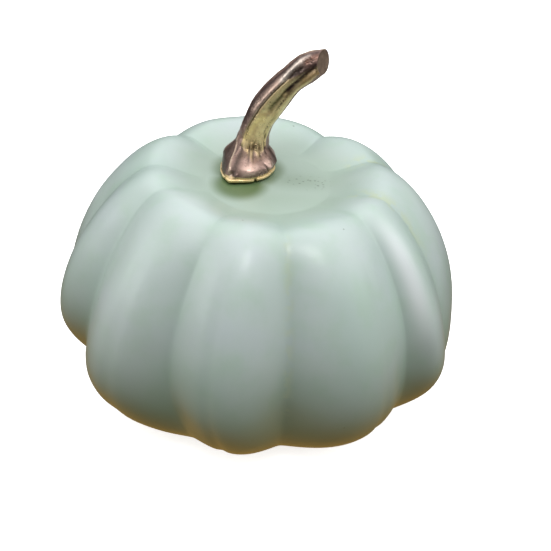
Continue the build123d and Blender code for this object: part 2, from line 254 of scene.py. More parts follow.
def meridian(lobe, place, step):
    """Radius and height, in mm, of the glazed surface: arrays over rows of steps and columns."""
    open_ridge = np.cos(np.pi * place / 2) ** 2
    softness = np.array(CREST_SOFTNESS)[lobe]
    softness = softness + (GROOVE_SOFTNESS - softness) * smooth(step, 1.1, 1.8)
    lowest = GROOVE_ROUND ** (2 * softness)
    ridge = (open_ridge + GROOVE_ROUND ** 2) ** softness - lowest
    ridge = ridge / ((1 + GROOVE_ROUND ** 2) ** softness - lowest)
    nearest = np.where(place > 0, (lobe + 1) % LOBES, lobe)
    valley = (1 - ridge) * np.array(GROOVE_DEPTH)[nearest]
    in_well = step < 1
    in_belly = step > 2
    quarter = np.sin(np.clip(step, 0, 1) * np.pi / 2)
    turn = np.clip(step - 1, 0, 1) * np.pi / 2
    fall = np.clip(step - 2, 0, 1) * np.pi / 2
    over = np.cos(turn)
    down = np.cos(fall)
    well_r = FLOOR_RADIUS + (CREST_RADIUS - FLOOR_RADIUS) * np.clip(step, 0, 1)
    well_z = FLOOR_Z + (CREST_Z - FLOOR_Z) * quarter ** WELL_POWER
    shoulder_r = CREST_RADIUS + (BODY_RADIUS - CREST_RADIUS) * np.sin(turn) ** SHOULDER_POWER
    shoulder_z = EQUATOR_Z + (CREST_Z - EQUATOR_Z) * np.clip(over, 0, 1) ** SHOULDER_POWER
    belly_r = FOOT_RADIUS + (BODY_RADIUS - FOOT_RADIUS) * np.clip(down, 0, 1) ** BELLY_POWER
    belly_z = EQUATOR_Z - (EQUATOR_Z - FOOT_Z) * np.sin(fall) ** BELLY_POWER
    r = np.where(in_well, well_r, np.where(in_belly, belly_r, shoulder_r))
    z = np.where(in_well, well_z, np.where(in_belly, belly_z, shoulder_z))
    on_crest = np.array(CREST_GROOVE)[nearest]
    on_crest = on_crest + (1 - on_crest) * smooth(step, 0.95, 1.45)
    below = np.where(in_belly, 1 - GROOVE_FADE * (step - 2), on_crest)
    fade = np.where(in_well, quarter * on_crest, below)
    r = CREST_RADIUS + (r - CREST_RADIUS) * (1 - GROOVE_CUT * valley * fade)
    drop = np.where(in_belly, 0.0, valley * fade)
    z = EQUATOR_Z + (z - EQUATOR_Z) * (1 - GROOVE_DROP * drop)
    lift = np.where(in_well, quarter ** 2, np.where(in_belly, 0.0, over))
    z = z + np.array(LOBE_LIFT)[lobe] * BODY_RADIUS * ridge * lift
    full = np.clip(step - 1, 0, 1)
    r = CREST_RADIUS + (r - CREST_RADIUS) * (1 + np.array(LOBE_FULLNESS)[lobe] * ridge * full)
    shift = np.where(in_well, 1.0, np.where(in_belly, 0.0, over))
    r = r - WELL_SHIFT * shift * np.sin(np.radians(body_angle(lobe, place, step)))
    return r, z


def around(r, z, angle, centre_x, centre_y):
    """Points from radius, height and angle in degrees."""
    a = np.radians(angle)
    x = centre_x + r * np.cos(a)
    y = centre_y + r * np.sin(a)
    return np.stack(np.broadcast_arrays(x, y, z), axis=-1)


def grid_normals(points):
    """Outward normals of a grid whose rows run outwards and columns counter-clockwise."""
    along = np.gradient(points, axis=0)
    across = (np.roll(points, -1, axis=1) - np.roll(points, 1, axis=1)) / 2
    normal = np.cross(along, across)
    return normal / np.maximum(np.linalg.norm(normal, axis=-1, keepdims=True), 1e-9)


def soften(points, passes):
    """Rounds the profile: each pass moves a row halfway to the middle of its neighbours."""
    points = points.copy()
    for _ in range(passes):
        points[1:-1] += 0.5 * ((points[:-2] + points[2:]) / 2 - points[1:-1])
    return points


def body_relief(lobe, place, step, points):
    """How far the surface stands out of the plain lobes, in mm: flutes and hand-made unevenness."""
    relief = np.zeros(points.shape[:2])
    for flute_lobe, centre, width, depth, start, end in FLUTES:
        along = smooth(step, start, start + 0.4) * (1 - smooth(step, end - 0.4, end))
        across = hump(place, centre, width) * (lobe == flute_lobe)
        relief = relief - depth * along * across
    shown = smooth(step, 0.1, 1.0) * (1 - smooth(step, 2.7, 2.95))
    relief = relief + (0.45 * cloud(points, 34.0, 3.1) - GLAZE_INSET) * shown
    relief = relief + 0.10 * cloud(points, 11.0, 7.7) * shown
    return relief


def painted_stalk_shadow(points):
    """Painted shadow of the stalk: dark green on the glaze round its foot, most of it in front."""
    from_x = points[..., 0] - STALK_X
    from_y = points[..., 1] - STALK_Y
    across = (from_x - STALK_SHADOW_MIDDLE[0]) / STALK_SHADOW_SIZE[0]
    back = (from_y - STALK_SHADOW_MIDDLE[1]) / STALK_SHADOW_SIZE[1]
    stalk_shadow = 1 - smooth(np.hypot(across, back), 0.5, 1.05)
    for strength, right, half_right, behind, half_behind in STALK_SHADOW_RIMS:
        rim = strength * hump(from_x, right, half_right) * hump(from_y, behind, half_behind)
        stalk_shadow = np.maximum(stalk_shadow, rim)
    return np.maximum(stalk_shadow, 0.70 * (1 - smooth(np.hypot(from_x, from_y + BUTT_AHEAD), 10.0, 15.0)))


def pinhole_patch(points):
    """The speckled patch on the floor of the well, right of the stalk."""
    across = (points[..., 0] - AXIS_X - SPECKLE_MIDDLE[0]) / SPECKLE_SIZE[0]
    back = (points[..., 1] - AXIS_Y - SPECKLE_MIDDLE[1]) / SPECKLE_SIZE[1]
    return 1 - smooth(np.hypot(across, back), 0.6, 1.3)


def foot_rings(foot_r, angle):
    """Rings from the outside of the foot ring over the recess and up through the opening in the base."""
    recess_z = FOOT_Z + FOOT_RECESS
    inner_floor_z = recess_z + WALL
    rings = []
    for inwards, height in FOOT_PROFILE:
        rings.append(around(foot_r - inwards, FOOT_Z + height, angle, AXIS_X, AXIS_Y))
    for radius, height in (
        (OPENING_RADIUS + OPENING_ROUND, recess_z),
        (OPENING_RADIUS, recess_z + OPENING_ROUND),
        (OPENING_RADIUS, inner_floor_z - OPENING_ROUND),
        (OPENING_RADIUS + OPENING_ROUND, inner_floor_z),
    ):
        rings.append(around(radius, height, angle, STALK_X, STALK_Y))
    rings.append(around(foot_r + 0.5 * WALL, inner_floor_z, angle, AXIS_X, AXIS_Y))
    return np.stack(rings)


def glaze_layers(lobe, place, steps, r, outside):
    """What the glaze needs to know at each point of the outside, as shares from 0 to 1."""
    every = np.ones_like(place)
    from_groove = (1 - np.abs(place)) * np.radians(HALF_LOBE) * r
    nearest = (lobe + (place > 0)) % LOBES
    groove = hump(from_groove, 0.0, 2.6) * smooth(steps, 0.0, 0.7) * (1 - smooth(steps, 2.5, 3.0))
    pool = hump(from_groove, 0.0, 7.0) * smooth(steps, -0.2, 0.5) * (1 - smooth(steps, 2.6, 3.0))
    tint = hump(from_groove, 0.0, 3.0) * np.isin(nearest, YELLOWISH_GROOVES)
    tint = tint * smooth(steps, 0.3, 0.6) * (1 - smooth(steps, 1.1, 1.6))
    front = hump(from_groove, 0.0, 1.6) * (nearest == 0)
    tint = np.maximum(tint, 0.5 * front * smooth(steps, 0.9, 1.1) * (1 - smooth(steps, 1.8, 2.2)))
    # painted light and highlights on single lobes
    painted_light = np.zeros_like(r)
    for lit_lobe, centre, width, start, end, strength in PAINTED_LIGHT_PATCHES:
        along = smooth(steps, start, start + 0.3) * (1 - smooth(steps, end - 0.3, end))
        painted_light = painted_light + strength * along * hump(place, centre, width) * (lobe == lit_lobe)
    return {
        "groove": groove,
        "pool": pool,
        # painted shade: darker in the well
        "well": (1 - smooth(steps, 0.05, 0.9)) * every,
        "pinholes": pinhole_patch(outside),
        "tint": tint,
        # painted shade: darker low on the belly
        "low": smooth(steps, 1.45, 2.25) * every,
        # painted brown reflection near the foot
        "edge": smooth(steps, 2.35, 2.8) * every,
        # painted shadow of the stalk
        "stalk_shadow": painted_stalk_shadow(outside),
        # painted light and highlights
        "painted_light": painted_light,
    }


def build_body():
    """The hollow glazed shell as one closed wall: outside, base, opening, inside and stud hole."""
    lobe, place = body_columns()
    lobe = lobe[None, :]
    place = place[None, :]
    steps = np.concatenate([
        np.linspace(0, 1, WELL_ROWS, endpoint=False),
        np.linspace(1, 2, SHOULDER_ROWS, endpoint=False),
        np.linspace(2, 3, BELLY_ROWS),
    ])[:, None]
    r, z = meridian(lobe, place, steps)
    angle = body_angle(lobe, place, steps)
    outside = soften(around(r, z, angle, AXIS_X, AXIS_Y), PROFILE_SOFTENING)
    normals = grid_normals(outside)
    outside = outside + normals * body_relief(lobe, place, steps, outside)[..., None]

    # floor of the well, from the stud hole out to the first row
    share = np.linspace(0, 1, FLOOR_ROWS, endpoint=False)[:, None]
    hole = around(STUD_HOLE_RADIUS, FLOOR_Z, angle[0], STALK_X, STALK_Y)
    floor = hole + (outside[0] - hole) * share[..., None]

    # inside of the wall, from low on the belly back up to the stud hole
    picked = np.arange(len(steps))[::-INSIDE_SPACING]
    picked = picked[steps[picked, 0] < INSIDE_START]
    inside = outside[picked] - normals[picked] * WALL
    under_z = np.full_like(angle[0], FLOOR_Z - WALL)
    under = around(r[0], under_z, angle[0], AXIS_X, AXIS_Y)
    hole_under = around(STUD_HOLE_RADIUS, FLOOR_Z - WALL, angle[0], STALK_X, STALK_Y)
    rows = np.concatenate([
        floor, outside, foot_rings(r[-1], angle[-1]), inside, under[None], hole_under[None],
    ])
    body = mesh_from_grid("glazed_body", rows, closed_rows=True)

    last_row = FLOOR_ROWS + len(steps)
    # the painted stalk shadow and the pinholes reach over the floor of the well
    on_floor = {"stalk_shadow": painted_stalk_shadow(floor), "pinholes": pinhole_patch(floor)}
    for name, values in glaze_layers(lobe, place, steps, r, outside).items():
        full = np.zeros(rows.shape[:2], np.float32)
        full[:FLOOR_ROWS] = on_floor.get(name, values[0])
        full[FLOOR_ROWS:last_row] = values
        paint(body, name, full)
    bare = np.zeros(rows.shape[:2], np.float32)
    bare[last_row - 2:-1] = 1.0
    paint(body, "bare", bare)
    return body


# ------------------------------------------------ stalk surface
# Lengths are mm along the stalk above its lip. Angles are degrees round it: 270 faces the front,
# 0 is the inside of the bend, 180 the outside.
STALK_LEAN = [(0, 4), (5, 5), (10, 10), (15, 20), (22, 32), (30, 38), (38, 51), (46, 70)]
STALK_SIZE = [(0, 9.0), (1.2, 9.3), (3.2, 9.2), (5.5, 7.5), (7.5, 6.0), (10, 5.3), (12, 5.0), (16, 4.9),
              (22, 5.3), (28, 4.9), (34, 4.35), (40, 4.6), (46, 3.8)]
LIP_SIZE = [(0, 9.3), (45, 9.2), (90, 9.2), (135, 9.4), (166, 9.8), (195, 10.2), (215, 11.2), (231, 12.5),
            (243, 13.4), (256, 11.8), (268, 11.1), (293, 9.9), (334, 9.0), (360, 9.3)]
LIP_HEIGHT = 0.9
CUT_LEAN = 76.0
CUT_TURN = 28.0
CUT_BLEND = 9.0
BUTT_Z = LIP_Z + LIP_HEIGHT
STALK_LENGTH = STALK_LEAN[-1][0]
STALK_SHORTENING = 0.982                # how much shorter the middle line is than its lengths say
BUTT_REACH = 9                          # the stalk is back over its stud at this length
BUTT_END = 6.5                          # and its own thickness takes over from the lip here
LIP_PROFILE = [(LIP_HEIGHT + 0.05, 0.25), (LIP_HEIGHT - 0.10, 0.05), (0.6, 0.0), (0.12, 0.03),
               (0.0, 0.2)]              # (height, in from the lip's outline)
STUD_DEPTH = 12.0
STUD_RADIUS = 2.5
SEAT_RADIUS = 5.0
FLASH_PATH = [(0.2, 241), (3.0, 234), (6.0, 221), (9.5, 200)]
BESIDE_FLASH = [(0.3, 248), (4.0, 243), (8.0, 234)]
STALK_COLUMNS = 240
STALK_ROWS = 330
CUT_ROWS = 10

# Ridges and creases: path as (length, angle), half-width in degrees, height in mm
STALK_LINES = [
    (FLASH_PATH, 1.9, 0.50),                                                # casting flash
    (BESIDE_FLASH, 7.0, -0.55),                                             # hollow beside it
    ([(0.5, 323), (4.6, 303)], 2.6, -0.45),                                 # crease between the bulges
    ([(4.6, 268), (9.0, 262)], 3.2, -0.35),                                 # roots of the ribs
    ([(5.2, 279), (9.6, 275)], 3.0, -0.50),
    ([(5.6, 301), (9.8, 296)], 3.4, -0.45),
    ([(6.5, 322), (14.0, 312)], 3.4, -0.40),
    ([(5.0, 266), (10.0, 269)], 3.2, 0.30),
    ([(5.4, 293), (10.0, 284)], 3.6, 0.22),
    ([(7.0, 300), (12.0, 311)], 3.6, 0.30),
    ([(13.0, 232), (19.0, 239), (27.5, 242), (34.0, 244)], 2.8, -0.32),     # crease left of the gold face
    ([(11.0, 216), (20.0, 226), (26.0, 232), (31.0, 232), (36.0, 223), (43.0, 209)], 13.0, 0.34),
    ([(10.0, 262), (18.0, 264), (24.0, 262)], 22.0, -0.22),                 # flat face
    ([(21.0, 271), (28.0, 275), (34.0, 282), (38.0, 280), (45.0, 267)], 12.0, -0.35),      # flute
    ([(30.0, 277), (34.0, 282), (38.0, 280), (42.0, 273), (45.0, 267)], 12.0, -0.60),
    ([(12.0, 320), (22.0, 308), (30.0, 304), (38.0, 299), (45.0, 292)], 9.0, 0.35),
    ([(10.0, 345), (24.0, 342), (44.0, 330)], 7.0, -0.30),
    ([(8.0, 15), (26.0, 10), (44.0, 0)], 12.0, 0.35),
    ([(9.0, 52), (26.0, 48), (44.0, 40)], 8.0, -0.50),
    ([(8.0, 85), (26.0, 84), (44.0, 76)], 13.0, 0.35),
    ([(9.0, 122), (26.0, 124), (42.0, 118)], 8.0, -0.45),
    ([(8.0, 158), (26.0, 162), (44.0, 158)], 12.0, 0.30),
]

# Bulges and hollows: length, angle, half-length in mm, half-width in degrees, height in mm
STALK_BUMPS = [
    (3.2, 276, 2.2, 19, 1.45),
    (3.8, 318, 2.1, 12, 1.35),
    (3.4, 352, 2.2, 12, 0.55),
    (3.2, 30, 2.4, 16, 0.70),
    (3.4, 75, 2.2, 17, 0.60),
    (3.0, 120, 2.4, 16, 0.70),
    (3.4, 165, 2.2, 15, 0.45),
    (4.1, 203, 0.5, 20, 0.22),
    (1.1, 241, 0.8, 4, -1.30),
    (1.2, 250, 0.7, 3, 0.50),
    (37.8, 243, 2.8, 13, -0.35),
    (43.5, 224, 1.6, 9, -0.20),
    (25.5, 228, 3.0, 10, 0.12),
]

# Edges of the gold face as (length, angle)
GOLD_LEFT = [(6.5, 262), (7.5, 230), (13, 229), (18, 236), (27, 241), (34, 245), (38, 258)]
GOLD_RIGHT = [(6, 300), (9, 326), (16, 334), (26, 330), (34, 322), (46, 306)]

# Dark patina: strength, path as (length, angle), half-width in degrees, softness of its ends in mm
DARK_PATHS = [
    (0.80, BESIDE_FLASH, 7, 1.5),
    (0.85, [(2.5, 350), (9.0, 344)], 8, 1.5),
    (0.35, [(10.0, 344), (45.0, 330)], 8, 2.0),
]

# Pitted patches: length, angle, half-length in mm, half-width in degrees
STALK_PITS = [(1.2, 300, 1.8, 16), (37.8, 243, 2.8, 13), (43.5, 228, 1.8, 16), (19.0, 240, 4.0, 4),
              (28.0, 293, 5.0, 4), (17.0, 303, 5.0, 4), (13.0, 237, 2.5, 5), (31.0, 243, 4.0, 4),
              (9.0, 282, 2.0, 22), (20.0, 216, 9.0, 12), (1.5, 60, 1.6, 20), (34.0, 100, 4.0, 14),
              (24.0, 150, 5.0, 9)]

# Colour laid over the plating, painted highlights and dark reflections among it: path as (length, angle),
# half-width in degrees, strength, colour
STALK_STROKES = [
    ([(13.0, 212), (24.0, 218), (30.0, 214)], 14, 0.55, (104, 80, 74)),     # brown flank
    # patina and painted dark reflection
    ([(14.0, 196), (34.0, 203), (46.0, 196)], 15, 0.90, (66, 50, 50)),      # dark outer band
    # painted highlight along the rose ridge, with a brighter one higher up
    ([(19.0, 222), (29.0, 229), (34.0, 230)], 14, 0.85, (228, 196, 180)),   # rose ridge
    ([(32.0, 232), (36.0, 224), (40.0, 213), (43.0, 206)], 13, 0.95, (255, 238, 226)),
    ([(13.0, 233), (19.0, 239), (27.5, 242), (33.0, 244)], 3, 0.90, (92, 66, 44)),
    ([(21.0, 254), (34.0, 254)], 8, 0.90, (255, 232, 172)),                 # pale strip
    ([(10.0, 240), (16.0, 256), (21.0, 268)], 16, 0.60, (255, 228, 152)),   # yellow face
    ([(12.0, 262), (18.0, 266)], 7, 0.35, (206, 170, 128)),
    ([(23.0, 269), (28.0, 273), (34.0, 279)], 10, 0.95, (86, 80, 40)),      # olive root of the flute
    # painted dark reflection in the flute
    ([(31.0, 284), (37.0, 276), (40.0, 268), (46.0, 256)], 17, 0.97, (58, 34, 38)),        # flute
    ([(24.0, 292), (33.0, 292)], 4, 0.50, (128, 100, 62)),
    ([(12.0, 318), (22.0, 306), (33.0, 303)], 10, 0.45, (216, 198, 142)),   # lit edge
    ([(37.0, 296), (46.0, 286)], 12, 0.60, (170, 138, 84)),
    ([(35.0, 246), (38.0, 243), (40.5, 243)], 13, 0.85, (84, 72, 68)),      # pitted patch
    ([(41.0, 226), (46.0, 220)], 18, 0.92, (108, 70, 54)),
    # painted highlight near the cut end
    ([(44.5, 222), (46.0, 222)], 4, 0.50, (220, 172, 156)),
    ([(5.5, 276), (9.0, 276)], 46, 0.55, (112, 90, 60)),                    # face meets butt
    ([(7.0, 262), (8.5, 279), (10.0, 292)], 7, 0.35, (88, 66, 44)),         # between the ribs
    ([(1.4, 244), (6.5, 246)], 10, 0.75, (98, 78, 68)),
    ([(1.5, 262), (2.0, 320)], 30, 0.55, (84, 64, 58)),
    # painted highlights on the crowns of the bulges
    ([(1.8, 268), (4.6, 275)], 13, 0.80, (232, 198, 184)),                  # crowns of the bulges
    ([(2.0, 320), (5.2, 315)], 9, 0.75, (224, 192, 178)),
    ([(4.8, 238), (6.8, 258)], 14, 0.55, (100, 80, 64)),
    ([(6.0, 300), (7.5, 330)], 11, 0.65, (88, 68, 56)),
    ([(0.0, 218), (3.0, 212), (6.0, 200)], 15, 0.70, (84, 68, 62)),         # shaded side of the flash
    ([(3.0, 345), (6.0, 342)], 9, 0.70, (58, 58, 60)),
]


def table(pairs, x):
    """Straight lines through a list of pairs."""
    return np.interp(x, [p[0] for p in pairs], [p[1] for p in pairs])


def along_path(angle, length, path, width, soft=1.0):
    """1 on a path given as (length, angle), falling off over width degrees and past its ends."""
    ends = smooth(length, path[0][0] - soft, path[0][0] + soft)
    ends = ends * (1 - smooth(length, path[-1][0] - soft, path[-1][0] + soft))
    return angle_hump(angle, table(path, length), width) * ends


def stalk_path(lengths):
    """Middle of the stalk and its lean, at lengths along it above the lip."""
    fine = np.linspace(0, STALK_LENGTH, 900)
    lean = np.radians(table(STALK_LEAN, fine))
    short = fine[1] * STALK_SHORTENING
    x = np.concatenate([[0], np.cumsum(np.sin((lean[1:] + lean[:-1]) / 2) * short)])
    z = np.concatenate([[0], np.cumsum(np.cos((lean[1:] + lean[:-1]) / 2) * short)])
    return (STALK_X + np.interp(lengths, fine, x), BUTT_Z + np.interp(lengths, fine, z),
            np.interp(lengths, fine, lean))


def stalk_points(angle, length, r):
    """Points of the stalk: rings square to its path, level at the lip and slanting at the cut end."""
    x, z, lean = stalk_path(length)
    lean = lean * smooth(length, 0, 4)
    a = np.radians(angle)
    side = r * np.cos(a)
    back = r * np.sin(a)
    share = np.clip((length - STALK_LENGTH + CUT_BLEND) / CUT_BLEND, 0, 1) ** 2
    slant = math.tan(math.radians(CUT_LEAN - STALK_LEAN[-1][1]))
    ahead = share * (math.tan(math.radians(CUT_TURN)) * back - slant * side)
    return np.stack(np.broadcast_arrays(
        x + side * np.cos(lean) + ahead * np.sin(lean),
        STALK_Y + back - BUTT_AHEAD * (1 - smooth(length, 0, BUTT_REACH)),
        z - side * np.sin(lean) + ahead * np.cos(lean)), axis=-1)


def stalk_marks(angle, length):
    """What the metal looks like from place to place: shares of pits, gold, dark patina and flash."""
    pits = np.zeros(np.broadcast(angle, length).shape)
    for middle, centre, reach, width in STALK_PITS:
        pits = np.maximum(pits, hump(length, middle, reach) * angle_hump(angle, centre, width))
    left = table(GOLD_LEFT, length)
    right = table(GOLD_RIGHT, length)
    gold = smooth(angle, left - 3, left + 3) * (1 - smooth(angle, right - 4, right + 4))
    across = np.stack(np.broadcast_arrays(angle / 9, length / 2.2, 0), axis=-1)
    gold = gold * smooth(length + 1.6 * cloud(across, 1.0, 8.2), 5.5, 8.5)
    gold = gold * (1 - 0.5 * smooth(length, 36, 44))
    back = 0.5 * (angle_hump(angle, 12, 16) + angle_hump(angle, 84, 16) + angle_hump(angle, 158, 12))
    gold = np.maximum(gold, back * smooth(length, 8, 13))
    dark = 0.8 * smooth(angle, 168, 185) * (1 - smooth(angle, 226, 232)) * (1 - smooth(length, 6, 10))
    for strength, path, width, soft in DARK_PATHS:
        dark = np.maximum(dark, strength * along_path(angle, length, path, width, soft))
    for middle, centre, reach, width, height in STALK_BUMPS:
        if height < -0.3:
            dark = np.maximum(dark, 0.8 * hump(length, middle, reach) * angle_hump(angle, centre, width))
    for path, width, height in STALK_LINES:
        if height < -0.25 and width < 4:
            dark = np.maximum(dark, 0.75 * along_path(angle, length, path, width * 0.9, 0.8))
    for centre in (48, 122):
        dark = np.maximum(dark, 0.7 * angle_hump(angle, centre, 10) * smooth(length, 6, 10))
    flash = along_path(angle, length, FLASH_PATH, 2.0)
    return {"pits": pits, "gold": gold, "dark": dark * (1 - flash), "flash": flash}


def stroke_colours(angle, length):
    """Colour and strength of the strokes over the plating: red, green, blue, share."""
    shape = np.broadcast(angle, length).shape
    colour = np.zeros((*shape, 4))
    for path, width, strength, paint_colour in STALK_STROKES:
        share = (strength * along_path(angle, length, path, width))[..., None]
        colour[..., :3] = colour[..., :3] * (1 - share) + np.array(rgb(*paint_colour)[:3]) * share
        colour[..., 3:] = 1 - (1 - colour[..., 3:]) * (1 - share)
    colour[..., :3] = colour[..., :3] / np.maximum(colour[..., 3:], 1e-4)
    return colour


def build_stalk():
    """The cast stalk: cut end, ribbed stem, bulging butt, flat lip and the blind hole for the stud."""
    angle = np.linspace(0, 360, STALK_COLUMNS, endpoint=False)[None, :]
    length = np.linspace(STALK_LENGTH, 0, STALK_ROWS)[:, None]
    lip_r = table(LIP_SIZE, angle)
    r = table(STALK_SIZE, length)
    r = r + (0.95 * lip_r - r) * (1 - smooth(length, 0.2, BUTT_END))
    for path, width, height in STALK_LINES:
        r = r + height * along_path(angle, length, path, width)
    for middle, centre, reach, width, height in STALK_BUMPS:
        r = r + height * hump(length, middle, reach) * angle_hump(angle, centre, width)
    marks = stalk_marks(angle, length)
    places = stalk_points(angle, length, r)
    grain = cloud(places, 1.1, 5.3)
    r = r - 0.22 * marks["pits"] * smooth(grain, 0.0, 0.45)
    r = r + 0.07 * cloud(places, 2.6, 9.1) + 0.10 * cloud(places, 7.0, 2.2)
    r = r + 0.03 * grain * (1 - marks["pits"])
    surface = stalk_points(angle, length, r)

    # cut end: slightly dished and torn
    share = np.linspace(0, 1, CUT_ROWS, endpoint=False)[1:, None, None]
    middle = surface[0].mean(axis=0)
    inwards = np.array([-math.sin(math.radians(CUT_LEAN)), 0.35, -math.cos(math.radians(CUT_LEAN))])
    cut = middle + (surface[0] - middle) * share * (1 - 0.05 * (share > 0.88))
    torn = 0.30 + 0.14 * cloud(cut, 1.6, 4.4)
    cut = cut + inwards * (torn * (1 - share[..., 0] ** 6))[..., None]

    # lip, with a notch at its front corner, and the blind hole for the stud
    notch = 0.9 * angle_hump(angle[0], 286, 2.2) + 0.5 * angle_hump(angle[0], 231.5, 1.6)
    lip_r = lip_r[0] - notch + 0.06 * cloud(surface[-1], 1.5, 6.6)
    lip = []
    for height, inset in LIP_PROFILE:
        lip.append(around(lip_r - inset, LIP_Z + height, angle[0], STALK_X, STALK_Y - BUTT_AHEAD))
    for radius, height in ((SEAT_RADIUS, 0.0), (STUD_RADIUS + 0.15, 0.0), (STUD_RADIUS, 0.15),
                           (STUD_RADIUS, STUD_DEPTH)):
        lip.append(around(radius, LIP_Z + height, angle[0], STALK_X, STALK_Y))
    rows = np.concatenate([cut, surface, np.stack(lip)])
    caps = ((0, middle + inwards * 0.3), (len(rows) - 1, (STALK_X, STALK_Y, LIP_Z + STUD_DEPTH)))
    stalk = mesh_from_grid("cast_stalk", rows, caps=caps)

    first = len(cut)
    after = first + STALK_ROWS
    for name, values in marks.items():
        full = np.zeros(rows.shape[:2], np.float32)
        full[first:after] = values
        if name == "gold":
            full[after:] = 1.0
            full[after - 6:after] = 0.9
        if name == "dark":
            full[after:after + 4] = 0.9 * np.clip(notch, 0, 1)
        paint(stalk, name, full)
    colours = np.zeros((len(stalk.data.vertices), 4), np.float32)
    laid = stroke_colours(angle, length).reshape(-1, 4)
    colours[first * STALK_COLUMNS:after * STALK_COLUMNS] = laid
    layer = stalk.data.attributes.new("strokes", "FLOAT_COLOR", "POINT")
    layer.data.foreach_set("color", colours.ravel())
    cut_face = np.zeros(rows.shape[:2], np.float32)
    cut_face[:first] = 1.0
    paint(stalk, "cut", cut_face, rest=1.0)
    return stalk


# ------------------------------------------------ materials
class Look:
    """A new material and short ways to add and join its nodes."""

    def __init__(self, name):
        self.material = bpy.data.materials.new(name)
        self.material.use_nodes = True
        self.tree = self.material.node_tree
        self.shader = self.tree.nodes["Principled BSDF"]
        self.place = self.tree.nodes.new("ShaderNodeTexCoord").outputs["Object"]

    def feed(self, socket, value):
        """Joins an output to a socket, or sets the socket to a plain value."""
        if isinstance(value, bpy.types.NodeSocket):
            self.tree.links.new(value, socket)
        else:
            socket.default_value = value

    def set(self, **values):
        """Sets or joins the shader's own sockets: Base_Color=..., Roughness=..."""
        for name, value in values.items():
            self.feed(self.shader.inputs[name.replace("_", " ")], value)

    def painted(self, name):
        """A number stored on the mesh."""
        node = self.tree.nodes.new("ShaderNodeAttribute")
        node.attribute_name = name
        return node.outputs["Fac"]

    def noise(self, grain, detail=3.0, stretch=None):
        """Noise from 0 to 1. grain is its size in mm, and stretch lengthens it along an axis."""
        node = self.tree.nodes.new("ShaderNodeTexNoise")
        node.inputs["Scale"].default_value = 1 / (grain * MM)
        node.inputs["Detail"].default_value = detail
        place = self.place
        if stretch:
            mapping = self.tree.nodes.new("ShaderNodeMapping")
            mapping.inputs["Scale"].default_value = [1 / s for s in stretch]
            self.tree.links.new(place, mapping.inputs["Vector"])
            place = mapping.outputs["Vector"]
        self.tree.links.new(place, node.inputs["Vector"])
        return node.outputs["Fac"]

    def cells(self, grain, chance):
        """Small round spots: distance to the nearest, and 1 in the share of cells that has one, else 0."""
        node = self.tree.nodes.new("ShaderNodeTexVoronoi")
        node.inputs["Scale"].default_value = 1 / (grain * MM)
        self.tree.links.new(self.place, node.inputs["Vector"])
        split = self.tree.nodes.new("ShaderNodeSeparateColor")
        self.tree.links.new(node.outputs["Color"], split.inputs["Color"])
        picked = self.math("GREATER_THAN", split.outputs["Red"], 1 - chance)
        return node.outputs["Distance"], picked

    def math(self, operation, a, b=0.0):
        """One operation on two numbers, not clamped."""
        node = self.tree.nodes.new("ShaderNodeMath")
        node.operation = operation
        self.feed(node.inputs[0], a)
        self.feed(node.inputs[1], b)
        return node.outputs[0]

    def ramp(self, value, low, high, to_low=0.0, to_high=1.0):
        """Carries value from low..high to to_low..to_high, smoothly and clamped."""
        node = self.tree.nodes.new("ShaderNodeMapRange")
        node.interpolation_type = "SMOOTHSTEP"
        self.feed(node.inputs["Value"], value)
        node.inputs["From Min"].default_value = low
        node.inputs["From Max"].default_value = high
        node.inputs["To Min"].default_value = to_low
        node.inputs["To Max"].default_value = to_high
        return node.outputs["Result"]

    def mix(self, share, a, b):
        """Colour a where share is 0, b where it is 1."""
        node = self.tree.nodes.new("ShaderNodeMix")
        node.data_type = "RGBA"
        self.feed(node.inputs["Factor"], share)
        self.feed(node.inputs["A"], a)
        self.feed(node.inputs["B"], b)
        return node.outputs["Result"]

    def bump(self, height, depth):
        """Bump from a height of 0 to 1 that stands for depth in mm."""
        node = self.tree.nodes.new("ShaderNodeBump")
        node.inputs["Distance"].default_value = depth * MM
        self.tree.links.new(height, node.inputs["Height"])
        if self.shader.inputs["Normal"].is_linked:
            self.tree.links.new(self.shader.inputs["Normal"].links[0].from_socket, node.inputs["Normal"])
        self.tree.links.new(node.outputs["Normal"], self.shader.inputs["Normal"])


